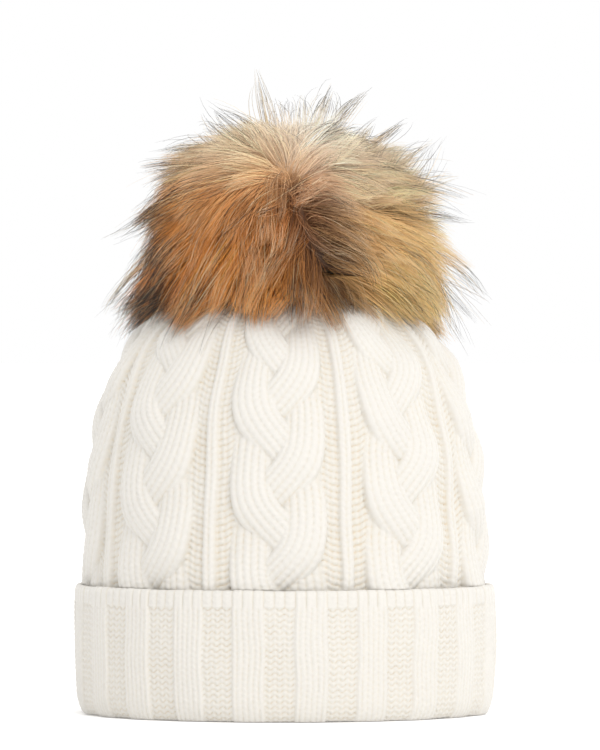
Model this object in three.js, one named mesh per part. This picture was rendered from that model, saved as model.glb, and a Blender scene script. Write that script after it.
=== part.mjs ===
// Pom pom beanie: a cable-knit cap with a turned-up ribbed cuff and a fur ball that
// snaps on to the crown. Millimetres, +Z up, origin under the middle of the cuff.

import * as THREE from 'three';

// Cap and cuff. Every radius is the half width across X; Y is wider by DEPTH_RATIO.
const DEPTH_RATIO = 1.05;
const CAP_RADIUS = 96.5;
const CAP_HEIGHT = 203.5;
const CAP_WALL = 4.5;
const CAP_BOTTOM = 4.8;
const DOME_START = 70;
const DOME_SIDE_POWER = 0.5;
const DOME_RISE_POWER = 0.83;
const CROWN_DIP = 1.6;
const CROWN_DIP_SPREAD = 12;
const CROWN_HOLE_RADIUS = 6.2;
const CABLE_PANELS = 9;
const CABLE_SHARE = 0.68;
const FRONT_CABLE = -92;
const CABLE_RISE = 1.4;
const CABLE_FIRST_RISE = 66;

const CUFF_RADIUS = 101.4;
const CUFF_INNER_RADIUS = 98;
const CUFF_HEIGHT = 62.4;
const CUFF_CORNER = 12;
const CUFF_FOLD_TOP = 4.5;
const CUFF_REST_RADIUS = 96.5;
const CUFF_EDGE = 2.1;
const RIB_REPEATS = 21;
const RIB_RISE = 0.7;

// Seams, label and crown patch
const TOUCH_GAP = 0.3;
const SEAM_WIDTH = 5;
const SEAM_THICKNESS = 1.8;
const SEAM_BOTTOM = 8;
const SEAM_END_TURN = 78;
const CUFF_SEAM_THICKNESS = 0.8;
const LABEL_WIDTH = 32;
const LABEL_HEIGHT = 20;
const LABEL_THICKNESS = 0.8;
const LABEL_BOTTOM = 66;
const LABEL_THREAD = 0.6;
const LABEL_THREAD_SHARE = 0.8;
const PATCH_RADIUS = 14;
const PATCH_HOLE_RADIUS = 3.2;
const PATCH_THICKNESS = 1.4;
const PATCH_STITCH = { ring: 12, thickness: 0.4 };
const GATHER_YARN = { ring: 4.7, thickness: 1.1, height: 199.8 };

// Snap fastener, from the inside of the crown upwards
const SNAP_POST_RADIUS = 1.9;
const SNAP_CAP = {
  radius: 7, bottom: 193.6, top: 194.5, headRadius: 3, headBottom: 205, headTop: 205.6,
};
const SOCKET = {
  radius: 7.5, bottom: 203.9, top: 207.9, sheet: 0.8, wall: 2, hole: 2.3, mouth: 3.6,
};
const SPRING = { ring: 4.3, wire: 0.45, height: 206.6 };
const STUD = {
  head: 3.1, headBottom: 206, headBevel: 0.5, headTop: 207.2, headTaper: 0.4,
  neck: 2.5, flange: 6, flangeBottom: 208.5,
};
const STUD_TOP = 209.3;
const STUD_BORE = { radius: 1.7, bottom: 207 };
const POM_BASE = { radius: 11, bottom: 209.6, top: 211.1, hole: 1.9 };
const STUD_POST = { radius: 1.4, bottom: 207.3, flange: 5, flangeBottom: 211.4, top: 212.1 };

// Fur ball
const POM_CENTRE = 250;
const POM_RADIUS = 70;
const POM_HALF_HEIGHT = 48;
const POM_BOTTOM = 213;
const POM_MOUTH_RADIUS = 11.5;
const POM_HOLLOW = { radius: 30, halfHeight: 26, centre: 241 };
const STUFFING = { radius: 29.2, halfHeight: 25.2, centre: 241 };
const POM_THREAD = { ring: 9.6, thickness: 0.9, height: 214.6 };

const CUFF_SEGMENTS = RIB_REPEATS * 4;
const CAP_SEGMENTS = CABLE_PANELS * 10;
const DOME_STEPS = 10;
const CORNER_STEPS = 6;
const BALL_SEGMENTS = 36;
const BALL_STEPS = 10;
const FASTENER_SEGMENTS = 24;
const RING_SIDES = 6;
const QUARTER = Math.PI / 2;

function finish(color, roughness, metalness = 0) {
  return new THREE.MeshStandardMaterial({ color, roughness, metalness });
}

const knitFinish = finish(0xf4efe6, 0.95);
const threadFinish = finish(0xe9e0d0, 0.9);
const feltFinish = finish(0xe6dccb, 0.98);
const labelFinish = finish(0xf7f5f0, 0.8);
const brassFinish = finish(0xb79a5e, 0.35, 1);
const leatherFinish = finish(0x8a6242, 0.8);
const stuffingFinish = finish(0xf5f3ee, 1);
const furFinish = finish(0xb98550, 0.85);

const beanie = new THREE.Group();

function addPiece(name, geometry, material) {
  const mesh = new THREE.Mesh(geometry, material);
  mesh.name = name;
  beanie.add(mesh);
  return mesh;
}

// A closed outline of [radius, height] points turned about the vertical axis
function turned(outline, segments) {
  const points = outline.map(([radius, height]) => new THREE.Vector2(radius, height));
  return new THREE.LatheGeometry(points, segments).rotateX(QUARTER);
}

function ring(radius, thickness, height, segments) {
  return new THREE.TorusGeometry(radius, thickness, RING_SIDES, segments).translate(0, 0, height);
}

// The cap's meridian at a turn of 0 to 90 degrees, moved in from the outside by inset
function domePoint(turn, inset) {
  const radius = (CAP_RADIUS - inset) * Math.cos(turn) ** DOME_SIDE_POWER;
  const rise = (CAP_HEIGHT - inset - DOME_START) * Math.sin(turn) ** DOME_RISE_POWER;
  const dip = CROWN_DIP * Math.exp(-((radius / CROWN_DIP_SPREAD) ** 2));
  return [radius, DOME_START + rise - dip];
}

// Meridian points from the first turn to the last, both in degrees
function domeLine(inset, firstTurn, lastTurn, steps) {
  const line = [];
  for (let i = 0; i <= steps; i += 1) {
    const degrees = THREE.MathUtils.lerp(firstTurn, lastTurn, i / steps);
    line.push(domePoint(THREE.MathUtils.degToRad(degrees), inset));
  }
  return line;
}

// The turn, in degrees, where the meridian comes in to a radius
function turnAtRadius(radius, inset) {
  const cosine = (radius / (CAP_RADIUS - inset)) ** (1 / DOME_SIDE_POWER);
  return THREE.MathUtils.radToDeg(Math.acos(cosine));
}

// Moves each outside point in or out by what relief says for its angle and height
function reshape(geometry, relief) {
  const place = geometry.getAttribute('position');
  for (let i = 0; i < place.count; i += 1) {
    const [x, y, z] = [place.getX(i), place.getY(i), place.getZ(i)];
    const radius = Math.hypot(x, y);
    const grow = radius > 0 ? 1 + relief(Math.atan2(y, x), z, radius) / radius : 1;
    place.setXYZ(i, x * grow, y * grow, z);
  }
  return geometry;
}

function cableRelief(angle, height, radius) {
  const outside = radius > domeRadiusAt(height) - CAP_WALL / 2;
  if (!outside || height < CABLE_FIRST_RISE || radius < CAP_RADIUS / 2) {
    return 0;
  }
  const turn = (angle - THREE.MathUtils.degToRad(FRONT_CABLE)) * CABLE_PANELS / (2 * Math.PI);
  const offCentre = 2 * Math.abs(turn - Math.round(turn));
  return offCentre < CABLE_SHARE ? CABLE_RISE : 0;
}

function domeRadiusAt(height) {
  const rise = Math.max(0, (height - DOME_START) / (CAP_HEIGHT - DOME_START));
  const sine = Math.min(1, rise) ** (1 / DOME_RISE_POWER);
  return CAP_RADIUS * Math.sqrt(Math.max(0, 1 - sine * sine)) ** DOME_SIDE_POWER;
}

function ribRelief(angle, _height, radius) {
  const outside = radius > CUFF_RADIUS - CUFF_EDGE / 2;
  return outside ? RIB_RISE * Math.sign(Math.cos(angle * RIB_REPEATS + QUARTER / 2)) : 0;
}

// Turned-up cuff: outer wall, the fold under the cap's edge, and a flat ring to stand on
function cuffOutline() {
  const outline = [];
  for (let i = 0; i <= CORNER_STEPS; i += 1) {
    const turn = QUARTER * (1 - i / CORNER_STEPS);
    const radius = CUFF_REST_RADIUS + (CUFF_RADIUS - CUFF_REST_RADIUS) * Math.cos(turn);
    outline.push([radius, CUFF_CORNER * (1 - Math.sin(turn))]);
  }
  outline.push([CUFF_RADIUS, CUFF_HEIGHT / 2]);
  outline.push([CUFF_RADIUS, CUFF_HEIGHT - CUFF_EDGE]);
  outline.push([CUFF_RADIUS - CUFF_EDGE / 2, CUFF_HEIGHT]);
  outline.push([CUFF_INNER_RADIUS + CUFF_EDGE / 2, CUFF_HEIGHT]);
  outline.push([CUFF_INNER_RADIUS, CUFF_HEIGHT - CUFF_EDGE]);
  outline.push([CUFF_INNER_RADIUS, CUFF_FOLD_TOP]);
  outline.push([CAP_RADIUS - CAP_WALL, CUFF_FOLD_TOP]);
  outline.push([CAP_RADIUS - CAP_WALL, CUFF_EDGE]);
  outline.push([CAP_RADIUS - CAP_WALL + CUFF_EDGE, 0]);
  outline.push(outline[0]);
  return outline;
}

function capOutline() {
  const outer = domeLine(0, 0, turnAtRadius(CROWN_HOLE_RADIUS, 0), DOME_STEPS);
  const inner = domeLine(CAP_WALL, 0, turnAtRadius(CROWN_HOLE_RADIUS, CAP_WALL), DOME_STEPS);
  const outline = [[CAP_RADIUS, CAP_BOTTOM], [CAP_RADIUS, CUFF_HEIGHT], ...outer];
  outline.push(...inner.reverse(), [CAP_RADIUS - CAP_WALL, CAP_BOTTOM], outline[0]);
  return outline;
}

function addKnit() {
  const cuff = reshape(turned(cuffOutline(), CUFF_SEGMENTS), ribRelief);
  addPiece('folded_cuff', cuff.scale(1, DEPTH_RATIO, 1), knitFinish);
  const cap = reshape(turned(capOutline(), CAP_SEGMENTS), cableRelief);
  addPiece('knit_cap', cap.scale(1, DEPTH_RATIO, 1), knitFinish);
  const yarn = ring(GATHER_YARN.ring, GATHER_YARN.thickness, GATHER_YARN.height, FASTENER_SEGMENTS);
  addPiece('crown_gather_yarn', yarn, threadFinish);
}

// A strip against the back of the hat: a [depth, height] outline made wide across X
function backStrip(outline, width) {
  const shape = new THREE.Shape(outline.map(([depth, height]) => new THREE.Vector2(depth, height)));
  const strip = new THREE.ExtrudeGeometry(shape, { depth: width, bevelEnabled: false });
  const upright = new THREE.Matrix4().makeBasis(
    new THREE.Vector3(0, 1, 0), new THREE.Vector3(0, 0, 1), new THREE.Vector3(1, 0, 0));
  return strip.translate(0, 0, -width / 2).applyMatrix4(upright);
}

function addSeams() {
  const outside = CAP_WALL + TOUCH_GAP * 2;
  const inside = outside + SEAM_THICKNESS;
  const wall = domeLine(outside, 0, SEAM_END_TURN, DOME_STEPS);
  const free = domeLine(inside, 0, SEAM_END_TURN, DOME_STEPS);
  const line = [[CAP_RADIUS - inside, SEAM_BOTTOM], [CAP_RADIUS - outside, SEAM_BOTTOM]];
  line.push(...wall, ...free.reverse());
  const capSeam = line.map(([radius, height]) => [radius * DEPTH_RATIO, height]);
  addPiece('back_seam_yarn', backStrip(capSeam, SEAM_WIDTH), threadFinish);

  const near = CUFF_INNER_RADIUS * DEPTH_RATIO - TOUCH_GAP - CUFF_SEAM_THICKNESS;
  const far = near + CUFF_SEAM_THICKNESS;
  const top = CUFF_HEIGHT - CUFF_EDGE;
  const cuffSeam = [[near, SEAM_BOTTOM], [far, SEAM_BOTTOM], [far, top], [near, top]];
  addPiece('cuff_seam_yarn', backStrip(cuffSeam, SEAM_WIDTH), threadFinish);
}

function addLabel() {
  const seamFace = (CAP_RADIUS - CAP_WALL - TOUCH_GAP * 2 - SEAM_THICKNESS) * DEPTH_RATIO;
  const depth = seamFace - TOUCH_GAP - LABEL_THICKNESS / 2;
  const height = LABEL_BOTTOM - LABEL_HEIGHT / 2;
  const label = new THREE.BoxGeometry(LABEL_WIDTH, LABEL_THICKNESS, LABEL_HEIGHT);
  addPiece('inner_label', label.translate(0, depth, height), labelFinish);

  const threadDepth = depth - LABEL_THICKNESS / 2 - TOUCH_GAP - LABEL_THREAD / 2;
  const offset = LABEL_WIDTH / 2 - 2 * LABEL_THREAD;
  for (const [name, side] of [['left', -1], ['right', 1]]) {
    const thread = new THREE.BoxGeometry(LABEL_THREAD, LABEL_THREAD, LABEL_HEIGHT * LABEL_THREAD_SHARE);
    thread.translate(side * offset, threadDepth, height);
    addPiece(`label_stitching_${name}`, thread, threadFinish);
  }
}

// Felt patch under the crown, with its round of hand stitches on the lower face
function addPatch() {
  const holeTurn = THREE.MathUtils.degToRad(turnAtRadius(CROWN_HOLE_RADIUS, CAP_WALL));
  const crownInside = domePoint(holeTurn, CAP_WALL)[1];
  const top = crownInside - TOUCH_GAP;
  const bottom = top - PATCH_THICKNESS;
  const outline = [[PATCH_HOLE_RADIUS, bottom], [PATCH_RADIUS, bottom], [PATCH_RADIUS, top]];
  outline.push([PATCH_HOLE_RADIUS, top], outline[0]);
  addPiece('crown_patch', turned(outline, FASTENER_SEGMENTS), feltFinish);

  const stitchHeight = bottom - TOUCH_GAP - PATCH_STITCH.thickness;
  const stitching = ring(PATCH_STITCH.ring, PATCH_STITCH.thickness, stitchHeight, FASTENER_SEGMENTS);
  addPiece('patch_stitching', stitching, threadFinish);
}

function addSnap() {
  const cap = SNAP_CAP;
  addPiece('snap_cap', turned([
    [0, cap.bottom], [cap.radius, cap.bottom], [cap.radius, cap.top], [SNAP_POST_RADIUS, cap.top],
    [SNAP_POST_RADIUS, cap.headBottom], [cap.headRadius, cap.headBottom],
    [cap.headRadius, cap.headTop], [0, cap.headTop],
  ], FASTENER_SEGMENTS), brassFinish);

  const { radius, bottom, top, sheet, wall, hole, mouth } = SOCKET;
  const socket = [[hole, bottom], [radius, bottom], [radius, top - sheet], [radius - sheet, top]];
  socket.push([mouth, top], [mouth, top - sheet], [radius - wall, top - sheet]);
  socket.push([radius - wall, bottom + sheet], [hole, bottom + sheet], socket[0]);
  addPiece('snap_socket', turned(socket, FASTENER_SEGMENTS), brassFinish);
  addPiece('snap_spring', ring(SPRING.ring, SPRING.wire, SPRING.height, FASTENER_SEGMENTS), brassFinish);
}

function addStud() {
  const neckTop = STUD.flangeBottom;
  addPiece('snap_stud', turned([
    [0, STUD.headBottom], [STUD.neck, STUD.headBottom],
    [STUD.head, STUD.headBottom + STUD.headBevel],
    [STUD.head, STUD.headTop], [STUD.neck, STUD.headTop + STUD.headTaper], [STUD.neck, neckTop],
    [STUD.flange, neckTop], [STUD.flange, STUD_TOP], [STUD_BORE.radius, STUD_TOP],
    [STUD_BORE.radius, STUD_BORE.bottom], [0, STUD_BORE.bottom],
  ], FASTENER_SEGMENTS), brassFinish);

  const base = POM_BASE;
  const disc = [[base.hole, base.bottom], [base.radius, base.bottom], [base.radius, base.top]];
  disc.push([base.hole, base.top], disc[0]);
  addPiece('pom_base', turned(disc, FASTENER_SEGMENTS), leatherFinish);

  const post = STUD_POST;
  addPiece('stud_post', turned([
    [0, post.bottom], [post.radius, post.bottom], [post.radius, post.flangeBottom],
    [post.flange, post.flangeBottom], [post.flange, post.top], [0, post.top],
  ], FASTENER_SEGMENTS), brassFinish);
}

// Points on an upright ellipse between two turns from straight down, in degrees
function ellipseLine(radius, halfHeight, centre, firstTurn, lastTurn, steps) {
  const line = [];
  for (let i = 0; i <= steps; i += 1) {
    const turn = THREE.MathUtils.degToRad(THREE.MathUtils.lerp(firstTurn, lastTurn, i / steps));
    line.push([Math.max(0, radius * Math.sin(turn)), centre - halfHeight * Math.cos(turn)]);
  }
  return line;
}

function addPom() {
  const outerStart = THREE.MathUtils.radToDeg(Math.acos((POM_CENTRE - POM_BOTTOM) / POM_HALF_HEIGHT));
  const hollow = POM_HOLLOW;
  const innerEnd = THREE.MathUtils.radToDeg(Math.asin(POM_MOUTH_RADIUS / hollow.radius));
  const outline = [[POM_MOUTH_RADIUS, POM_BOTTOM]];
  outline.push(...ellipseLine(POM_RADIUS, POM_HALF_HEIGHT, POM_CENTRE, outerStart, 180, BALL_STEPS));
  outline.push(...ellipseLine(hollow.radius, hollow.halfHeight, hollow.centre, 180, innerEnd, BALL_STEPS));
  outline.push(outline[0]);
  const top = outline.findIndex(([, height]) => height > POM_CENTRE + POM_HALF_HEIGHT - TOUCH_GAP);
  const fromAxis = [...outline.slice(top + 1, -1), ...outline.slice(0, top + 1)];
  addPiece('fur_pelt', turned(fromAxis, BALL_SEGMENTS), furFinish);

  const core = ellipseLine(STUFFING.radius, STUFFING.halfHeight, STUFFING.centre, 0, 180, BALL_STEPS);
  addPiece('pom_stuffing', turned(core, BALL_SEGMENTS), stuffingFinish);
  const thread = ring(POM_THREAD.ring, POM_THREAD.thickness, POM_THREAD.height, FASTENER_SEGMENTS);
  addPiece('pom_gather_thread', thread, threadFinish);
}

addKnit();
addSeams();
addLabel();
addPatch();
addSnap();
addStud();
addPom();

export default beanie;
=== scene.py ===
import math

import bmesh
import bpy
import numpy as np
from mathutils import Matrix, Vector


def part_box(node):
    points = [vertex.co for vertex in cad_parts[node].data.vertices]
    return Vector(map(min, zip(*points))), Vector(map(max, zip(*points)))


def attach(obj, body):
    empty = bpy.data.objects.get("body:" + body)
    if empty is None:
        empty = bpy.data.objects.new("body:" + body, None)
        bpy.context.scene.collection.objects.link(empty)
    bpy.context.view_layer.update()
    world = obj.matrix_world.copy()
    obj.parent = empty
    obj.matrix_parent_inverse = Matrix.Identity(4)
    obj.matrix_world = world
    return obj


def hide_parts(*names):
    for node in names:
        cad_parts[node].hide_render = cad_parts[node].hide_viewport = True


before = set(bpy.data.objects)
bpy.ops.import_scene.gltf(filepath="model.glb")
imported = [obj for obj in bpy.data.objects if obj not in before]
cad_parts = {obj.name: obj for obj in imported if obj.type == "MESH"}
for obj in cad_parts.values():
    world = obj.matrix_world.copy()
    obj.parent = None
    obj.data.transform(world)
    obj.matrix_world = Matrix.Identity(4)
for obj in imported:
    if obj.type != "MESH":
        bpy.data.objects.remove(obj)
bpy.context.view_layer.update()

# ---------------------------------------------------------------- driving sizes
# Shapes are worked out in millimetres, and meshes are made in metres.
MM = 0.001
TURN = 2 * math.pi
COARSER = 1.0
HAIR_SHARE = 1.0

DEPTH_RATIO = 1.05          # the hat's depth over its width
CAP_RADIUS = 96.5
CAP_HEIGHT = 203.5
CAP_BOTTOM = 5.2
DOME_START = 70.0
DOME_SIDE_POWER = 0.5
DOME_RISE_POWER = 0.83
CROWN_DIP = 1.6
CROWN_DIP_SPREAD = 12.0
CROWN_HOLE = 6.6
CAP_INSET = 5.5             # the wall from the outer line to the inner one

CUFF_RADIUS = 101.0
CUFF_INNER_RADIUS = 98.2
CUFF_HEIGHT = 62.2
LIP_RADIUS = 91.2
LIP_MIDDLE = 93.9
LIP_DEPTH = 3.2

PANELS = 9
FRONT_CABLE = math.radians(-2.0)
RIB_REPEATS = 21
FRONT_PURL = math.radians(-1.4)
WALES_IN_RIB = 3
NOISE_TRAVEL = 600.0


def wander(phi, travel, seed, lowest=2, highest=14, count=7):
    """Smooth noise of about -1 to 1 that closes on itself around the hat."""
    rng = np.random.default_rng(seed)
    around = rng.integers(lowest, highest, count)
    along = rng.uniform(-1, 1, count) * highest / NOISE_TRAVEL * TURN
    phase = rng.uniform(0, TURN, count)
    total = 0.0
    for turns, rate, shift in zip(around, along, phase):
        total = total + np.sin(turns * phi + rate * travel + shift)
    return total / math.sqrt(count)


def smooth_step(x, low, high):
    t = np.clip((x - low) / (high - low), 0, 1)
    return t * t * (3 - 2 * t)


def bell(x, spread):
    """1 at zero, falling away on both sides."""
    return np.exp(-(x / spread) ** 2)


def rounded(offset, half_width):
    """Height of a round yarn across its width, 1 on its ridge and 0 at its edge."""
    return np.sqrt(np.clip(1 - (offset / half_width) ** 2, 0, 1))


def unit(vectors):
    return vectors / np.maximum(np.linalg.norm(vectors, axis=-1, keepdims=True), 1e-9)


# ---------------------------------------------------------------- knit stitches
# A leg of a stitch, as shares of its column's width and, for its run, of its row's height
LEG_HALF = 0.255
LEG_START = 0.13
LEG_END = 0.37
LEG_RUN = 1.55
LEG_SAG = 0.55
BETWEEN_STITCHES = -0.3
PURL_WAVE = 0.24
PURL_SWELL = 0.14
PURL_SUNK = 0.05


def knit_relief(wale, course, width, row):
    """Two legs to a stitch, each a slanted round yarn that starts low in the middle."""
    side = np.abs((wale - np.floor(wale) - 0.5) * width)
    best = np.full(np.broadcast(wale, course).shape, -1.0)
    run = np.array([(LEG_END - LEG_START) * width, LEG_RUN * row])
    span = float(np.hypot(*run))
    direction = run / span
    for back in (-1, 0, 1):
        dx, dy = side - LEG_START * width, (course - np.floor(course) + back) * row
        along = np.clip(dx * direction[0] + dy * direction[1], 0, span)
        off = np.hypot(dx - along * direction[0], dy - along * direction[1])
        sag = LEG_SAG * (2 * along / span - 1) ** 2
        best = np.maximum(best, rounded(off, LEG_HALF * width) - sag)
    return np.clip(best, BETWEEN_STITCHES, 1)


def purl_relief(wale, course, row):
    """Wavy rows of bumps, high where the loops turn and low between them."""
    wave = PURL_WAVE * np.cos(TURN * wale)
    best = np.full(np.broadcast(wale, course).shape, BETWEEN_STITCHES)
    for near in (-1, 0, 1):
        middle = np.round(course) + near + wave
        best = np.maximum(best, rounded((course - middle) * row, 0.5 * row))
    return best * (1 - PURL_SWELL + PURL_SWELL * np.cos(2 * TURN * wale)) - PURL_SUNK


# ---------------------------------------------------------------- meshes from arrays
def set_layer(layer, field, data):
    layer.data.foreach_set(field, np.ascontiguousarray(data, dtype=np.float32).ravel())


def link_piece(name, mesh):
    piece = bpy.data.objects.new(name, mesh)
    bpy.context.scene.collection.objects.link(piece)
    return piece


def mesh_piece(name, points, face_sets, uv=None, values=None):
    """A smooth mesh from places in metres and sets of equal-sided faces, with point values."""
    mesh = bpy.data.meshes.new(name)
    corners = np.concatenate([faces.ravel() for faces in face_sets]).astype(np.int32)
    sizes = np.concatenate([np.full(len(faces), faces.shape[1]) for faces in face_sets])
    starts = np.concatenate([[0], np.cumsum(sizes)[:-1]]).astype(np.int32)
    mesh.vertices.add(len(points))
    mesh.vertices.foreach_set("co", np.ascontiguousarray(points, dtype=np.float32).ravel())
    mesh.loops.add(corners.size)
    mesh.loops.foreach_set("vertex_index", corners)
    mesh.polygons.add(len(sizes))
    mesh.polygons.foreach_set("loop_start", starts)
    mesh.polygons.foreach_set("use_smooth", np.full(len(sizes), True))
    mesh.update(calc_edges=True)
    if uv is not None:
        set_layer(mesh.uv_layers.new(name="OFBake"), "uv", uv)
    for label, data in (values or {}).items():
        kind, field = ("FLOAT_COLOR", "color") if data.ndim == 2 else ("FLOAT", "value")
        set_layer(mesh.attributes.new(label, kind, "POINT"), field, data)
    return link_piece(name, mesh)


def grid_faces(rows, columns, close_rows):
    """Quads of a grid that closes around its columns, and over its rows if asked."""
    last = rows if close_rows else rows - 1
    row, column = np.meshgrid(np.arange(last), np.arange(columns), indexing="ij")
    next_row, next_column = (row + 1) % rows, (column + 1) % columns
    corners = [row * columns + column, row * columns + next_column,
               next_row * columns + next_column, next_row * columns + column]
    faces = np.stack(corners, axis=-1).reshape(-1, 4)
    u = np.stack([column, column + 1, column + 1, column], axis=-1) / columns
    v = np.stack([row, row, row + 1, row + 1], axis=-1) / last
    return faces, np.stack([u, v], axis=-1).reshape(-1, 2)


def wrapped_piece(name, phi, radius, height, values):
    """A closed tube of knit from its radius and height at each angle and row."""
    points = np.stack([radius * np.sin(phi), -radius * np.cos(phi) * DEPTH_RATIO, height], axis=-1)
    faces, uv = grid_faces(*radius.shape, True)
    flat = {label: data.ravel() for label, data in values.items()}
    return mesh_piece(name, points.reshape(-1, 3) * MM, [faces], uv, flat)


# ---------------------------------------------------------------- the cap
SIDE_STEPS = 200
DOME_STEPS = 4000


def dome_line(inset):
    """The cap's meridian from its bottom edge to the crown hole, finely spaced."""
    turn = np.linspace(0, math.pi / 2 - 1e-4, DOME_STEPS)
    radius = (CAP_RADIUS - inset) * np.cos(turn) ** DOME_SIDE_POWER
    rise = (CAP_HEIGHT - inset - DOME_START) * np.sin(turn) ** DOME_RISE_POWER
    height = DOME_START + rise - CROWN_DIP * bell(radius, CROWN_DIP_SPREAD)
    keep = radius >= CROWN_HOLE
    low = np.linspace(CAP_BOTTOM, DOME_START, SIDE_STEPS)[:-1]
    radius = np.concatenate([np.full(low.size, CAP_RADIUS - inset), radius[keep]])
    return radius, np.concatenate([low, height[keep]])


def measured(radius, height):
    """Travel along a line from its start, and its outward normal."""
    step = np.hypot(np.diff(radius), np.diff(height))
    travel = np.concatenate([[0], np.cumsum(step)])
    out = np.gradient(height, travel), -np.gradient(radius, travel)
    return travel, out


PANEL_WIDTH = TURN * 95.0 / PANELS
CABLE_HALF = 24.2
CABLE_DRIFT = 0.5
CABLE_SUNK = 3.6
CABLE_STITCH = 1.15
GUTTER_END = 30.3
GUTTER_FLOOR = -2.5
GUTTER_DASH = 1.1
GUTTER_SLANT = 0.75
GUTTER_WAVE = 0.08
RIB_FLOOR = -2.0
RIB_RISE = 1.7
RIB_STITCH = 1.1
CAP_ROW = 3.2
PLAIT_PERIOD = 127.0
PLAIT_SWING = 13.2
PLAIT_WIDER = 1.1
PLAIT_POINTED = 0.1
PLAIT_DEPTH = 1.9
STRAND_HALF = 10.9
STRAND_HEIGHT = 3.9
STRAND_FLATNESS = 2.4
STRAND_STITCHES = 3
NOWHERE = -9.0


def plait(across, travel):
    """Height of a three-strand plait, and how deep its stitches' creases are there."""
    best = np.full(across.shape, NOWHERE)
    relief = np.zeros(across.shape)
    line = travel[:, :1]
    step = np.diff(line[:, 0], prepend=line[0, 0])
    for strand in range(3):
        turn = TURN * (strand / 3 - line / PLAIT_PERIOD)
        swing = PLAIT_WIDER * np.sin(turn) + PLAIT_POINTED * np.sin(3 * turn)
        swing_rate = PLAIT_WIDER * np.cos(turn) + 3 * PLAIT_POINTED * np.cos(3 * turn)
        centre, slope = PLAIT_SWING * swing, -PLAIT_SWING * TURN / PLAIT_PERIOD * swing_rate
        stretch = np.sqrt(1 + slope ** 2)
        length = np.cumsum(step * stretch[:, 0])[:, None]
        share = (across - centre) / stretch / STRAND_HALF
        along = length + (across - centre) * slope / stretch
        body = np.clip(1 - np.abs(share) ** STRAND_FLATNESS, 0, 1) ** 0.5
        lift = -PLAIT_DEPTH * np.sin(2 * turn)
        height = np.where(np.abs(share) < 1, STRAND_HEIGHT * body + lift, NOWHERE)
        wale = (share + 1) / 2 * STRAND_STITCHES
        leg = knit_relief(wale, along / CAP_ROW, 2 * STRAND_HALF / STRAND_STITCHES, CAP_ROW)
        on_top = height > best
        best = np.where(on_top, height, best)
        relief = np.where(on_top, leg, relief)
    return best, relief


def gutter_dashes(side, course):
    """The slanted ladder of stitches in the gutter beside a plait."""
    wale = (side - CABLE_HALF) / (GUTTER_END - CABLE_HALF)
    slant = GUTTER_SLANT * wale + GUTTER_WAVE * np.sin(TURN * wale)
    return rounded((course + slant) % 1 - 0.5, 0.5) * (0.82 + 0.18 * np.cos(2 * TURN * wale))


def cable_panels(phi, travel):
    """Relief of the nine panels: plait, gutter, rib, gutter. Returns height and crease."""
    turn = (phi - FRONT_CABLE) / TURN * PANELS
    drift = CABLE_DRIFT * wander(phi, travel, 3)
    across = (turn - np.round(turn)) * PANEL_WIDTH + drift
    side = np.abs(across)
    course = travel / CAP_ROW

    plait_height, plait_leg = plait(across, travel)
    plait_total = plait_height - CABLE_SUNK + CABLE_STITCH * plait_leg
    dash = gutter_dashes(side, course)
    gutter, gutter_leg = GUTTER_FLOOR + GUTTER_DASH * dash, 0.1 + 0.8 * dash

    rib_side = PANEL_WIDTH / 2 - side
    rib_half = PANEL_WIDTH / 2 - GUTTER_END + 0.5
    rib_leg = knit_relief(0.5 + rib_side / (2 * rib_half), course, 2 * rib_half, CAP_ROW)
    rib = RIB_FLOOR + RIB_RISE * rounded(rib_side, rib_half) + RIB_STITCH * rib_leg
    rib = np.where(rib_side < rib_half, rib, NOWHERE)

    height = np.maximum(np.maximum(gutter, rib), plait_total)
    crease = np.where(plait_total >= height, plait_leg, gutter_leg)
    return height, np.where(rib >= height, rib_leg, crease)


KNIT_SHARE = 0.53           # the knit columns' share of a rib repeat
BAND_FLOOR = -0.55
BAND_RISE = 0.95
BAND_STITCH = 0.85


def rib_bands(phi, travel, row, seed):
    """Relief of wide knit and purl ribs by turns. Returns height and crease."""
    turn = (phi - FRONT_PURL) / TURN * RIB_REPEATS
    place = turn - np.round(turn) + 0.012 * wander(phi, travel, seed, 3, 20)
    knit_side = 0.5 - np.abs(place)
    in_knit = knit_side < KNIT_SHARE / 2
    knit_wale = WALES_IN_RIB * (0.5 + np.sign(place) * -knit_side / KNIT_SHARE)
    purl_wale = WALES_IN_RIB * (place / (1 - KNIT_SHARE) + 0.5)
    period = TURN * CUFF_RADIUS / RIB_REPEATS
    course = travel / row + 0.1 * wander(phi, travel, seed + 1, 3, 20)
    knit_leg = knit_relief(knit_wale, course, period * KNIT_SHARE / WALES_IN_RIB, row)
    leg = np.where(in_knit, knit_leg, purl_relief(purl_wale, course, row))
    edge = np.clip((KNIT_SHARE / 2 - knit_side) * period, -4, 4)
    return BAND_FLOOR + BAND_RISE * smooth_step(edge, -0.5, 1.5) + BAND_STITCH * leg, leg


def seam_groove(phi, travel, radius, row):
    """The sewn join up the back: a narrow groove crossed by a stitch at every row."""
    groove = bell(np.abs(phi - math.pi) * radius, 1.1)
    ladder = 0.5 + 0.5 * np.cos(TURN * travel / row)
    return -groove * (1.3 - 0.9 * ladder)


CAP_COLUMNS = PANELS * 120
HIDDEN_ROW_STEP = 1.3
SHOWN_ROW_STEP = 0.6
INSIDE_ROW_STEP = 2.6
GATHERED_FROM = 26.0        # radius inside which the panels shrink into the gather
HIDDEN_RIB = (0.6, -0.9)    # how high the rib under the cuff stands, and where


def knit_grid(columns, rows, travel, lines):
    """The angle, travel and base lines of a knitted tube at each of its rows and columns."""
    phi = np.linspace(0, TURN, int(columns / COARSER), endpoint=False)[None, :]
    base = [np.interp(rows, travel, line)[:, None] for line in lines]
    along = rows[:, None] + 0 * phi
    return phi, along, phi + 0 * along, base


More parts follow.
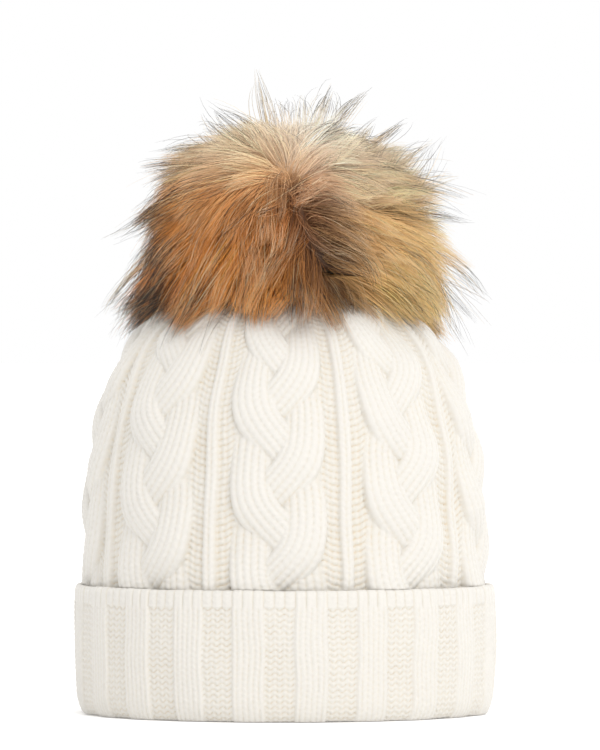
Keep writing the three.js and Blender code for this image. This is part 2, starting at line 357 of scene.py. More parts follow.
def make_cap():
    radius, height = dome_line(0)
    travel, out = measured(radius, height)
    start = np.interp(CUFF_HEIGHT - 4, height[:SIDE_STEPS], travel[:SIDE_STEPS])
    rows = np.concatenate([np.arange(0, start, HIDDEN_ROW_STEP * COARSER),
                           np.arange(start, travel[-1], SHOWN_ROW_STEP * COARSER)])
    phi, along, angle, base = knit_grid(CAP_COLUMNS, rows, travel, (radius, height, *out))

    cables, cable_crease = cable_panels(angle, along)
    ribs, rib_crease = rib_bands(angle, along, CAP_ROW, 31)
    low_ribs = ribs * HIDDEN_RIB[0] + HIDDEN_RIB[1]
    edge = CUFF_HEIGHT - CAP_BOTTOM
    shown = smooth_step(along, edge - 3, edge + 1)
    crease = np.where(shown > 0.5, cable_crease, rib_crease)
    relief = low_ribs + shown * (cables - low_ribs) + seam_groove(angle, along, base[0], CAP_ROW)
    near_hole = smooth_step(base[0], CROWN_HOLE, GATHERED_FROM)
    puckers = (0.5 * np.sin(angle * PANELS * 3) - 0.8) * (1 - near_hole)
    relief = relief * (base[0] / CAP_RADIUS) ** 0.7 * near_hole + puckers
    relief = relief + 0.8 * wander(angle, along, 5) * near_hole

    inner_radius, inner_height = dome_line(CAP_INSET)
    inner_travel, _ = measured(inner_radius, inner_height)
    back = np.arange(inner_travel[-1], 0, -INSIDE_ROW_STEP * COARSER)
    inside_leg = purl_relief(angle[:1] * PANELS * 12 / TURN, back[:, None] / CAP_ROW, CAP_ROW)
    in_radius = np.interp(back, inner_travel, inner_radius)[:, None] - 0.7 * inside_leg
    in_height = np.interp(back, inner_travel, inner_height)[:, None] + 0 * inside_leg

    all_radius = np.concatenate([base[0] + relief * base[2], np.maximum(in_radius, CROWN_HOLE)])
    all_height = np.concatenate([base[1] + relief * base[3], in_height])
    # The inside gets the depth of a low place, so it takes the wool's painted shade
    values = {"crease": np.concatenate([crease, inside_leg]),
              "depth": np.concatenate([relief, in_height * 0 - 1.5])}
    piece = wrapped_piece("cable_knit_cap", phi, all_radius, all_height, values)
    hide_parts("knit_cap")
    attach(piece, "cap")
    return piece


# ---------------------------------------------------------------- the cuff
CUFF_ROW = 2.75
CUFF_COLUMNS = RIB_REPEATS * 60
CUFF_ROW_STEP = 0.55
CUFF_INSIDE_STEP = 2.4
FOLD_WIDTH = 5.4
FOLD_HEIGHT = 12
CUFF_BULGE = 0.7
HEM_ROWS = 8.0
HEM_ROLL = 2.6
HEM_TICKS = RIB_REPEATS * 6
CUFF_FLOOR = 4.4


def ellipse(middle, half, first, last, steps):
    """Points on part of an ellipse, from one angle to another."""
    turns = np.linspace(first, last, steps)
    return [(middle[0] + half[0] * math.cos(t), middle[1] + half[1] * math.sin(t)) for t in turns]


def cuff_line():
    """The cuff's section: inner lip, fold, outer wall, rolled hem and inner wall."""
    points = ellipse((LIP_MIDDLE, LIP_DEPTH), (LIP_MIDDLE - LIP_RADIUS, LIP_DEPTH),
                     math.pi, 1.5 * math.pi, 12)
    points += ellipse((CUFF_RADIUS - FOLD_WIDTH, FOLD_HEIGHT), (FOLD_WIDTH, FOLD_HEIGHT),
                      1.5 * math.pi, TURN, 30)
    for height in np.linspace(FOLD_HEIGHT + 1, CUFF_HEIGHT - 3.0, 60):
        share = (height - FOLD_HEIGHT) / (CUFF_HEIGHT - FOLD_HEIGHT)
        points.append((CUFF_RADIUS + CUFF_BULGE * math.sin(math.pi * share), height))
    roll = (CUFF_RADIUS - CUFF_INNER_RADIUS) / 2
    points += ellipse((CUFF_INNER_RADIUS + roll, CUFF_HEIGHT - HEM_ROLL), (roll, HEM_ROLL),
                      0, math.pi, 18)[1:]
    points += [(CUFF_INNER_RADIUS, height)
               for height in np.linspace(CUFF_HEIGHT - 4, CUFF_FLOOR + 0.2, 40)]
    points += [(95.0, CUFF_FLOOR), (LIP_RADIUS + 0.3, CUFF_FLOOR)]
    return np.array(points).T


def make_cuff():
    radius, height = cuff_line()
    travel, out = measured(radius, height)
    hem_top = travel[np.argmax(height)]
    rows = np.concatenate([np.arange(0, hem_top + 2, CUFF_ROW_STEP * COARSER),
                           np.arange(hem_top + 2, travel[-1], CUFF_INSIDE_STEP * COARSER)])
    phi, along, angle, base = knit_grid(CUFF_COLUMNS, rows, travel, (radius, height, *out))

    ribs, crease = rib_bands(angle, along, CUFF_ROW, 11)
    hem = smooth_step(along, hem_top - HEM_ROWS - 1.2, hem_top - HEM_ROWS + 0.2)
    hem_leg = rounded((angle * HEM_TICKS / TURN % 1) - 0.5, 0.5)
    hem_height = 0.1 + 0.55 * hem_leg + 0.5 * ribs
    crease = np.where(hem > 0.5, 0.3 + 0.7 * hem_leg, crease)
    outside = smooth_step(-along, -hem_top - 1.5, -hem_top + 2.0)
    relief = (ribs * (1 - hem) + hem_height * hem) * outside + 0.12 * (1 - outside)
    relief = relief + 0.35 * wander(angle, along, 7) * outside
    relief = relief + seam_groove(angle, along, CUFF_RADIUS, CUFF_ROW) * outside

    new_height = np.maximum(base[1] + relief * base[3], 0.0)
    piece = wrapped_piece("ribbed_cuff", phi, base[0] + relief * base[2], new_height,
                          {"crease": crease, "depth": relief})
    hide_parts("folded_cuff")
    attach(piece, "cuff")
    return piece


# ---------------------------------------------------------------- materials
def new_material(name, **sockets):
    """A material, its nodes and links, and its shader with values set on its sockets."""
    material = bpy.data.materials.new(name)
    material.use_nodes = True
    nodes = material.node_tree.nodes
    shader = nodes["Principled BSDF"]
    for socket, value in sockets.items():
        shader.inputs[socket.replace("_", " ")].default_value = value
    return material, nodes, material.node_tree.links, shader


def ramp(nodes, links, factor, stops):
    """The colour at a factor between stops, each a place and its red, green and blue."""
    node = nodes.new("ShaderNodeValToRGB")
    elements = node.color_ramp.elements
    for end in (0, -1):
        elements[end].position = stops[end][0]
        elements[end].color = (*stops[end][1], 1)
    for place, color in stops[1:-1]:
        elements.new(place).color = (*color, 1)
    links.new(factor, node.inputs["Fac"])
    return node.outputs["Color"]


def noise(nodes, links, scale, detail=3.0):
    """Noise from 0 to 1 over the object."""
    node, place = nodes.new("ShaderNodeTexNoise"), nodes.new("ShaderNodeTexCoord")
    node.inputs["Scale"].default_value = scale
    node.inputs["Detail"].default_value = detail
    links.new(place.outputs["Object"], node.inputs["Vector"])
    return node.outputs["Fac"]


def patchy(nodes, links, target, stops, scale, detail=3.0):
    """Gives a socket the colours of a ramp in patches."""
    links.new(ramp(nodes, links, noise(nodes, links, scale, detail), stops), target)


def attribute(nodes, name, output="Fac"):
    node = nodes.new("ShaderNodeAttribute")
    node.attribute_name = name
    return node.outputs[output]


def math_node(nodes, links, kind, *values):
    """The result of a sum on numbers and other nodes' outputs."""
    node = nodes.new("ShaderNodeMath")
    node.operation = kind
    for socket, value in zip(node.inputs, values):
        if isinstance(value, (int, float)):
            socket.default_value = value
        else:
            links.new(value, socket)
    return node.outputs[0]


def bumped(nodes, links, shader, height, strength, distance):
    """Gives a shader a bump from a height."""
    node = nodes.new("ShaderNodeBump")
    node.inputs["Strength"].default_value = strength
    node.inputs["Distance"].default_value = distance
    links.new(height, node.inputs["Height"])
    links.new(node.outputs["Normal"], shader.inputs["Normal"])


# Painted shade: how far low places (depth) and the creases between yarns darken and warm the wool's
# colour
DEPTH_PAINTED_SHADE = 0.045
LOWEST_SHADE = 0.22
CREASE_PAINTED_SHADE = 0.72
PATCHY_SHADE = 0.16


def knit_material():
    """Cream wool with painted shade: warmer and darker in the creases and low places, with fibre bump
    and soft sheen.
    """
    material, nodes, links, shader = new_material(
        "cream_wool", Roughness=0.95, Specular_IOR_Level=0.15, Sheen_Weight=0.35,
        Sheen_Roughness=0.5)
    depth, crease = attribute(nodes, "depth"), attribute(nodes, "crease")
    # painted shade from the low places and the creases, then random patches on top
    low = math_node(nodes, links, "MULTIPLY_ADD", depth, DEPTH_PAINTED_SHADE, LOWEST_SHADE)
    shade = math_node(nodes, links, "MULTIPLY_ADD", crease, CREASE_PAINTED_SHADE, low)
    patches = noise(nodes, links, 90, 4)
    mixed = math_node(nodes, links, "MULTIPLY_ADD", patches, PATCHY_SHADE, shade)
    color = ramp(nodes, links, mixed, [(0.05, (0.57, 0.43, 0.26)), (0.34, (0.63, 0.54, 0.41)),
                                       (0.62, (0.66, 0.625, 0.56)), (0.95, (0.675, 0.652, 0.61))])
    links.new(color, shader.inputs["Base Color"])
    bumped(nodes, links, shader, noise(nodes, links, 2600, 6), 0.35, 0.0006)
    return material


# ---------------------------------------------------------------- the fur ball
POM_CENTRE = np.array([3.0, 0.0, 241.0])
SKIN_RADIUS = np.array([31.4, 31.4, 27.4])
MOUTH_RADIUS = 12.5
CROWN_CLEARANCE = 1.6
TIP_LIMIT = 314.0

# The pile parts along a short line down the front, from its first direction to its last
PARTING = unit(np.array([[-0.04, -0.93, 0.36], [0.13, -0.98, 0.02], [0.27, -0.86, -0.42]]))
WHORL = PARTING[1]
WHORL_RIGHT = unit(np.array([-WHORL[1], WHORL[0], 0.0]))
WHORL_UP = np.cross(WHORL, WHORL_RIGHT)
THIN_SIDE = unit(np.array([0.8, 0.0, 0.6]))

# How far the coat reaches from the middle of the ball at each height above level, in degrees
REACH_TURNS = np.array([-90, -48, -33, -16, 0, 24, 45, 62, 90])
REACH = np.array([60, 80, 91, 82, 72, 66, 57, 51, 47])

# Coat colours: across and up from the middle of the ball, spread, weight, colour
COAT = {
    "crest": (5, 50, 15, 2.0, "F8F0E4"),
    "top": (-4, 29, 13, 1.5, "DCA45E"),
    "right_shoulder": (42, 33, 18, 1.7, "FFE6CA"),
    "left_shoulder": (-37, 36, 16, 1.6, "FAE0BE"),
    "left_side": (-50, 6, 20, 1.3, "C8843C"),
    "left_flank": (-48, -24, 20, 1.3, "B8702C"),
    "middle": (-13, 4, 15, 1.2, "965F2E"),
    # The next two patches are painted shade in the hollow where the pile parts
    "whorl_painted_shade": (14, 13, 10, 2.4, "7A4C2A"),
    "parting": (13, -2, 10, 1.8, "683E24"),
    "under_parting": (-4, -16, 12, 1.0, "9C6230"),
    # Dark roots showing at the low end of the parting, with painted shade of its hollow
    "dark_roots_and_shade": (23, -25, 12, 8.0, "38201A"),
    "right_middle": (43, -16, 13, 1.5, "ECB470"),
    "right_side": (62, -4, 20, 1.5, "F4C886"),
    "right_flank": (62, -42, 20, 1.3, "F0BE78"),
    "front_fringe": (-6, -46, 18, 1.3, "DA9248"),
}
COAT_LIFT = 1.6
COAT_BRIGHTEST = 0.91
# Painted shade on the felted mat: a little darker everywhere under the hairs, much darker in the
# parting's hollow
MAT_PAINTED_SHADE = 0.92
PARTING_PAINTED_SHADE = 0.55
BANDING = 0.55              # how far a hair takes the coat's colour at each place along it
COAT_SOFTNESS = 0.6         # how far hairs are shaded as the coat and not as themselves
MAT_SHARE = 0.75
MAT_LOWEST_TURN = -27
# The patches round the parting lie on the front only; most of them are painted shade
FRONT_ONLY = ("whorl_painted_shade", "parting", "dark_roots_and_shade", "under_parting")

LOCKS = 560
TUFTS = 120
TUFT_SPREAD = 0.06
TUFT_LEAN_LESS = 22         # degrees
TUFT_LOWEST = -0.42         # sine of the angle below level


def srgb(text):
    """Linear colour of a hexadecimal screen colour."""
    value = np.array([int(text[i:i + 2], 16) for i in (0, 2, 4)]) / 255
    return np.where(value <= 0.04045, value / 12.92, ((value + 0.055) / 1.055) ** 2.4)


def even_directions(count, rng, jitter):
    """Directions spread evenly over a ball by the golden angle, slightly shaken."""
    index = np.arange(count) + 0.5
    height = 1 - 2 * index / count
    turn = index * math.pi * (3 - math.sqrt(5))
    flat = np.sqrt(1 - height ** 2)
    even = np.stack([flat * np.cos(turn), flat * np.sin(turn), height], axis=-1)
    return unit(even + rng.normal(0, jitter, even.shape))


def ball_noise(place, seed, rate, count=8):
    """Smooth noise of about -1 to 1 over the directions of a ball."""
    rng = np.random.default_rng(seed)
    waves, shift = rng.normal(0, rate, (count, 3)), rng.uniform(0, TURN, count)
    return np.sin(place @ waves.T + shift).sum(axis=-1) / math.sqrt(count)


def crown_height(x, y):
    """Height of the cap's outside at a place, far below where it has none."""
    share = np.clip(np.hypot(x, y / DEPTH_RATIO) / CAP_RADIUS, 0, 1)
    dome = DOME_START + (CAP_HEIGHT - DOME_START) * (1 - share ** 4) ** (DOME_RISE_POWER / 2)
    return np.where(share < 1, dome, 0)


def apart(turn, place):
    """Angle from a place in degrees to each turn, from minus to plus half a turn."""
    return np.angle(np.exp(1j * (turn - math.radians(place))))


def opaque(color):
    return np.concatenate([color, np.ones((len(color), 1))], axis=1)


def ball_grid(around, turns):
    """Directions round a ball at angles around it and above level."""
    flat = np.cos(turns)
    return np.stack([np.sin(around) * flat, -np.cos(around) * flat, np.sin(turns) + 0 * around],
                    axis=-1)


def stretched(path, stretch):
    """Paths drawn out from the middle of the ball, not at their roots and fully at their tips."""
    along = np.linspace(0, 1, path.shape[1])[None, :, None]
    return POM_CENTRE + (path - POM_CENTRE) * (1 + (stretch[:, None, None] - 1) * along)


def along_ball(place, way):
    """The part of a way that runs along the ball at each place."""
    return way - place * np.sum(place * way, axis=-1, keepdims=True)


def nearest_parting(place):
    """The nearest direction on the parting, which wavers a little, to each place."""
    share = np.linspace(0, 1, 12)[:, None]
    line = np.concatenate([start + (end - start) * share for start, end in zip(PARTING, PARTING[1:])])
    return line[np.argmax(place @ unit(line).T, axis=1)]


def combed(place):
    """Way the pile is combed: away from the parting, turned over on the left, and down."""
    away = unit(along_ball(place, -nearest_parting(place)))
    around = np.cross(place, away)
    angle = np.arctan2(place @ WHORL_UP, place @ WHORL_RIGHT)
    near = smooth_step(place @ WHORL, -0.4, 0.9)
    turn = math.radians(56) * bell(apart(angle, 140), 1.0) * near
    turn = turn - math.radians(12) * bell(apart(angle, 0), 0.7)
    turn = turn + math.radians(26) * ball_noise(place, 5, 2.6)
    turn = turn + math.radians(13) * ball_noise(place, 6, 7.0)
    way = away * np.cos(turn)[:, None] + around * np.sin(turn)[:, None]
    behind = smooth_step(-(place @ WHORL), -0.1, 0.8)[:, None]
    down = along_ball(place, np.array([0, 0, -1.0]))
    way = way * (1 - behind) + down * (0.42 + 0.5 * behind)
    below = smooth_step(-place[:, 2], 0.45, 0.85)[:, None]
    outward = unit(place * np.array([1, 1, 0.0]) + 1e-6)
    return unit(way * (1 - below) + outward * below)


def lean_angle(place):
    """How far the pile lies over where it leaves the skin."""
    front = smooth_step(place @ WHORL, 0.0, 0.9)
    top = smooth_step(place[:, 2], 0.3, 0.9)
    below = smooth_step(-place[:, 2], 0.3, 0.9)
    parting = bell(1 - np.sum(place * unit(nearest_parting(place)), axis=-1), 0.03)
    return np.radians(60 + 10 * front * (1 - top) - 16 * top + 16 * below - 40 * parting)


def parting_angle(place):
    """Angle in radians from each direction to the parting."""
    along = np.sum(place * unit(nearest_parting(place)), axis=-1)
    return np.arccos(np.clip(along, -1, 1))


def mat_reach(place):
    """How far the felted underfur reaches at directions round the ball, parted down the front."""
    turn = np.degrees(np.arcsin(np.clip(place[:, 2], -1, 1)))
    to_parting = parting_angle(place)
    reach = np.interp(turn, REACH_TURNS, REACH) * MAT_SHARE
    reach = reach * (1 + 0.035 * ball_noise(place, 51, 5.0) + 0.02 * ball_noise(place, 52, 16.0))
    reach = reach * (1 - 0.16 * bell(to_parting, 0.20))
    reach = reach * (1 - 0.10 * smooth_step(place @ THIN_SIDE, 0.6, 0.95))
    lowest = math.radians(MAT_LOWEST_TURN)
    edge = np.interp(MAT_LOWEST_TURN, REACH_TURNS, REACH) * MAT_SHARE
    edge_flat, edge_up = edge * math.cos(lowest), edge * math.sin(lowest)
    slope = (edge_up + SKIN_RADIUS[2] - 1.2) / (edge_flat - MOUTH_RADIUS)
    flat = np.sqrt(np.clip(1 - place[:, 2] ** 2, 0, 1))
    under = (edge_up - edge_flat * slope) / np.minimum(place[:, 2] - slope * flat, -1e-3)
    return np.where(turn < MAT_LOWEST_TURN, np.minimum(under, edge), reach)


def grow(root, way, length, lean, rng, curl, points):
    """Hair paths from roots on the skin: they leave it on the lean and bend along the comb."""
    count = len(root)
    along = np.linspace(0, 1, points)
    path = np.zeros((count, points, 3))
    path[:, 0] = POM_CENTRE + root * (mat_reach(root) - 1.5)[:, None]
    heading = root * np.cos(lean)[:, None] + way * np.sin(lean)[:, None]
    bend = rng.normal(0, 1, (count, 3)) * curl
    spin = rng.uniform(0, TURN, count)
    step = length[:, None] / (points - 1)
    low = smooth_step(-root[:, 2], -0.15, 0.35)
    for i in range(1, points):
        share = 8 * along[i] / points
        wave = np.sin(spin + along[i] * 5)[:, None]
        down = np.zeros((count, 3))
        down[:, 2] = -along[i] * (0.14 + 0.34 * low)
        heading = unit(heading + (bend * wave + way * 0.14 + down) * share)
        path[:, i] = path[:, i - 1] + heading * step
    return path


def fit_reach(path, share):
    """Draws each path in or out so that its tip lies at a share of the coat's reach."""
    offset = path[:, -1] - POM_CENTRE
    distance = np.linalg.norm(offset, axis=-1)
    turn = np.degrees(np.arcsin(np.clip(offset[:, 2] / distance, -1, 1)))
    around = np.arctan2(offset[:, 0], -offset[:, 1])
    reach = np.interp(turn, REACH_TURNS, REACH) * (1 + 0.05 * ball_noise(unit(offset), 9, 4.0))
    fringe = smooth_step(-turn, 5, 30)
    reach = reach * (1 - fringe * 0.07 * np.cos(around * 5 + 0.2))
    return stretched(path, np.clip(reach * share / distance, 0.5, 1.7))


def gather(path, lock, lock_path, hold):
    """Draws hairs to the axis of their lock towards the tips."""
    here = np.linspace(0, 1, path.shape[1])
    there = np.linspace(0, 1, lock_path.shape[1])
    index = np.clip(np.searchsorted(there, here) - 1, 0, len(there) - 2)
    part = ((here - there[index]) / (there[1] - there[0]))[None, :, None]
    axis = lock_path[lock][:, index] * (1 - part) + lock_path[lock][:, index + 1] * part
    pull = hold[:, None, None] * here[None, :, None] ** 1.2
    return path * (1 - pull) + axis * pull


def fringe_radius(around):
    """How far out the fringe reaches over the crown, with two partings at the front."""
    radius = 74 + 4 * np.sin(3 * around + 1) + 3 * np.sin(7 * around)
    radius = radius + 9 * bell(around, math.radians(14))
    for place, depth in ((-21, 13), (29, 12), (150, 8)):
        radius = radius - depth * bell(apart(around, place), math.radians(8))
    return radius


def lay_on_crown(path, rng):
    """Spreads what would sink into the cap over it, so that the fringe lies on the crown."""
    tip = path[:, -1]
    flat = np.hypot(tip[:, 0], tip[:, 1])
    resting = smooth_step(crown_height(tip[:, 0], tip[:, 1]) + 12 - tip[:, 2], 0, 10)
    resting = resting * smooth_step(flat, 20, 38)
    want = fringe_radius(np.arctan2(tip[:, 0], -tip[:, 1])) * rng.normal(1, 0.06, len(tip))
    widen = 1 + (np.clip(want / np.maximum(flat, 1), 0.8, 1.7) - 1) * resting
    along = np.linspace(0, 1, path.shape[1])[None, :]
    path[..., :2] *= (1 + (widen[:, None] - 1) * along ** 0.8)[..., None]
    floor = crown_height(path[..., 0], path[..., 1]) + CROWN_CLEARANCE
    floor = floor + rng.uniform(0, 4.0, (len(path), 1)) + 3.0 * (1 - along)
    path[..., 2] = np.clip(path[..., 2], floor, TIP_LIMIT)
    return path


def nearest_lock(root, locks):
    chosen = np.zeros(len(root), dtype=int)
    for start in range(0, len(root), 4000):
        chosen[start:start + 4000] = np.argmax(root[start:start + 4000] @ locks.T, axis=1)
    return chosen


def coat_color(place):
    """Colour of the coat at places round the ball, blended from the patches of COAT."""
    across, depth, up = (place - POM_CENTRE).T
    total, weights = 0.0, 1e-6
    front = smooth_step(-depth, 0, 25)
    for name, (x, z, spread, weight, color) in COAT.items():
        share = weight * np.exp(-((across - x) ** 2 + (up - z) ** 2) / (2 * spread ** 2)) + 1e-5
        share = (share * front if name in FRONT_ONLY else share)[:, None]
        total, weights = total + share * srgb(color), weights + share
    color = total / weights * COAT_LIFT
    return color * np.minimum(1, COAT_BRIGHTEST / color.max(axis=-1, keepdims=True))


def dark_share(place):
    """How many of the hairs are black at the tip: most along the left and lower edges."""
    across, depth, up = (place - POM_CENTRE).T
    left = smooth_step(-across, 55, 74)
    low = smooth_step(-up, 12, 40)
    return np.clip(0.02 + 0.55 * left + 0.8 * left * low + 0.11 * low, 0, 0.97)


def hair_colors(path, rng, lock_tone, streaky, kind):
    """Colour along each hair, from roots darkened as painted shade to the pale or black ends."""
    count, points = path.shape[:2]
    middle = coat_color(path[:, int(points * 0.72)] + rng.normal(0, 4.5, (count, 3)))
    tone = (np.clip(rng.normal(1, 0.11, count), 0.6, 1.4) * lock_tone)[:, None]
    # Painted shade at the roots, deep in the coat
    under = middle * 0.80
    pale, black = srgb("F6E7CB"), srgb("17110F")
    paleness = {"soft": 0.12, "guard": 0.26, "wisp": 0.35}[kind]
    pale_mix = np.clip(rng.normal(paleness, 0.20, (count, 1)), 0, 0.85)
    end = middle * (1 - pale_mix) + pale * pale_mix
    share = dark_share(path[:, -1]) * {"soft": 0.8, "guard": 1.0, "wisp": 1.0}[kind]
    share = share + {"soft": 0.0, "guard": 0.08, "wisp": 0.72}[kind]
    dark = (rng.uniform(0, 1, count) < share)[:, None]
    end = np.where(dark, black * rng.uniform(0.5, 1.8, (count, 1)), end)
    along = np.linspace(0, 1, points)[None, :, None]
    rise, last = smooth_step(along, 0.0, 0.30), smooth_step(along, 0.55, 0.85)
    last = np.where(dark[:, None], smooth_step(along, 0.45, 0.72), last)
    streak = np.clip(rng.normal(1, 0.09, (count, 1)), 0.7, 1.25)
    if kind != "soft":
        pick = rng.uniform(0, 1, (count, 1))
        pale_share = 0.09 + 0.45 * (streaky > 0.78)
        dull_share = 0.08 + 0.45 * (streaky < 0.2)
        tone = np.where(pick > 1 - dull_share[:, None], tone * 0.36, tone)
    near = coat_color(path.reshape(-1, 3)).reshape(path.shape)
    banded = middle[:, None, :] * (1 - BANDING) + near * BANDING
    color = under[:, None, :] * (1 - rise) + banded * (tone * streak)[:, None, :] * rise
    color = color * (1 - last) + (end * np.where(dark, 1, tone))[:, None, :] * last
    if kind != "soft":
        pale_hair = (pick < pale_share[:, None])[:, None] * rise
        color = color * (1 - 0.6 * pale_hair) + srgb("F3DDB0") * 0.6 * pale_hair
    return np.clip(color, 0, 0.9)


def strands_piece(name, path, width, color):
    """Closed three-sided tapering hairs as one mesh, each with its own patch of the layout."""
    count, rings = path.shape[:2]
    heading = unit(np.gradient(path, axis=1))
    side = unit(np.cross(heading, np.array([0.31, 0.52, 0.79])))
    other = np.cross(heading, side)
    taper = 1 - 0.85 * np.linspace(0, 1, rings) ** 2
    reach = width[:, None, None] / 2 * taper[None, :, None]
    turns = [TURN * i / 3 for i in range(3)]
    own = np.stack([side * math.cos(t) + other * math.sin(t) for t in turns], axis=2)
    points = (path[:, :, None] + reach[:, :, None] * own).reshape(-1, 3) * MM

    base = (np.arange(count) * rings * 3)[:, None, None]
    ring = (np.arange(rings - 1) * 3)[None, :, None]
    corner, following = np.arange(3)[None, None, :], (np.arange(3) + 1)[None, None, :] % 3
    quads = np.stack([base + ring + corner, base + ring + following,
                      base + ring + 3 + following, base + ring + 3 + corner],
                     axis=-1).reshape(-1, 4)
    first = np.arange(count)[:, None] * rings * 3
    roots = first + np.array([[2, 1, 0]])
    tips = first + (rings - 1) * 3 + np.array([[0, 1, 2]])

    cells = math.ceil(math.sqrt(count))
    index = np.arange(count)
    low = np.stack([index % cells, index // cells], axis=-1) / cells
    u = (np.array([0, 1, 1, 0]) + np.arange(3)[:, None]) / 3
    v = (np.array([0, 0, 1, 1]) + np.arange(rings - 1)[:, None]) / (rings - 1)
    u_all = np.broadcast_to(u[None, :, :], (rings - 1, 3, 4))
    v_all = np.broadcast_to(v[:, None, :], (rings - 1, 3, 4))
    patch = (np.stack([u_all, v_all], axis=-1).reshape(1, -1, 2) * 0.8 + 0.1) / cells
    quad_uv = (low[:, None, :] + patch).reshape(-1, 2)
    cap_uv = np.concatenate([np.repeat(low + np.array([0.5, 0.1]) / cells, 3, axis=0),
                             np.repeat(low + np.array([0.5, 0.9]) / cells, 3, axis=0)])
    tint = np.repeat(color, 3, axis=1).reshape(-1, 3)
    uv = np.concatenate([quad_uv, cap_uv])
    piece = mesh_piece(name, points, [quads, roots, tips], uv, {"tint": opaque(tint)})
    outward = unit(path - POM_CENTRE)[:, :, None, :]
    soft = unit(own * (1 - COAT_SOFTNESS) + outward * COAT_SOFTNESS)
    layer = piece.data.attributes.new("custom_normal", "FLOAT_VECTOR", "POINT")
    set_layer(layer, "vector", soft)
    return piece


def keep_clear_of_mouth(root):
    """Leaves out what would stand in the mouth of the ball."""
    flat = np.hypot(root[:, 0], root[:, 1]) * SKIN_RADIUS[0]
    return root[(root[:, 2] > 0) | (flat > MOUTH_RADIUS)]


def pile_length(root):
    """Shorter pile underneath, where the ball sits on the crown."""
    return 1 - 0.62 * smooth_step(-root[:, 2], 0.72, 0.92)


# name, kind, hairs, points, length, reach share, its spread, width, hold of the lock, curl
COATS = (
    ("underfur", "soft", 33000, 7, 27, 0.91, 0.07, 0.28, 0.62, 0.12),
    ("guard_hair", "guard", 10500, 9, 35, 0.99, 0.08, 0.22, 0.50, 0.12),
    ("fine_wisp", "wisp", 3000, 9, 42, 1.0, 0.05, 0.30, 0.86, 0.04),
)


def make_underfur_mat():
    """The felted mass of the underfur, parted down the front, that the hairs stand out of."""
    columns = 200
    around = np.linspace(0, TURN, columns, endpoint=False)[None, :]
    turns = np.radians(np.linspace(89, MAT_LOWEST_TURN, 70))[:, None]
    outward = ball_grid(around, turns)
    reach = mat_reach(outward.reshape(-1, 3)).reshape(outward.shape[:2])
    outer = POM_CENTRE + outward * reach[..., None]
    outer[..., 2] = np.maximum(outer[..., 2], crown_height(outer[..., 0], outer[..., 1]) + 1.2)

    mouth = ball_grid(around[0], 0.0) * MOUTH_RADIUS
    mouth[:, 2] = POM_CENTRE[2] - SKIN_RADIUS[2] + 1.2
    share = np.linspace(0, 1, 16)[1:, None, None]
    under = outer[-1] * (1 - share) + mouth * share
    lining = np.arcsin(MOUTH_RADIUS / SKIN_RADIUS[0])
    turns = np.linspace(-math.pi / 2 + lining, math.radians(89), 40)[:, None]
    inner = ball_grid(around, turns) * SKIN_RADIUS * 1.01
    aside = POM_CENTRE * smooth_step(inner[..., 2:], -30, -20) * [1, 1, 0]
    inner = inner + aside + [0, 0, POM_CENTRE[2]]
    points = np.concatenate([outer, under, inner])
    faces, uv = grid_faces(len(points), columns, True)
    # Painted shade: the mat is darkened under the hairs, and most of all in the parting
    color = coat_color(points.reshape(-1, 3)) * MAT_PAINTED_SHADE
    to_parting = parting_angle(unit(points.reshape(-1, 3) - POM_CENTRE))
    color = color * (1 - PARTING_PAINTED_SHADE * bell(to_parting, 0.22))[:, None]
    piece = mesh_piece("underfur_mat", points.reshape(-1, 3) * MM, [faces], uv,
                       {"tint": opaque(color)})
    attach(piece, "pom")
    return piece


def make_locks(count, rng, size, lean_less, scatter, curl):
    """Locks that hairs are drawn to: where each stands, its comb, path, tone and own reach."""
    root = even_directions(count, rng, scatter)
    turn = rng.normal(0, 0.30, root.shape)
    lean = lean_angle(root) - math.radians(lean_less) + rng.normal(0, 0.16, count)
    path = grow(root, unit(combed(root) + turn), size * pile_length(root), lean, rng, curl, 9)
    share = np.clip(rng.normal(0.98, 0.06, count), 0.8, 1.15) * pile_length(root) ** 0.6
    tone = np.clip(rng.normal(1, 0.14, count), 0.65, 1.25)
    return {"root": root, "turn": turn, "path": fit_reach(path, share), "tone": tone,
            "streaky": rng.uniform(0, 1, count)}


def stray_share(root, rng):
    """How far past the coat the wisps of each tuft stand: most at the top and on the right."""
    top, right = smooth_step(root[:, 2], 0.72, 0.97), smooth_step(root[:, 0], 0.3, 0.9)
    return 1.07 + 0.30 * top + 0.12 * right + rng.normal(0, 0.07, len(root))


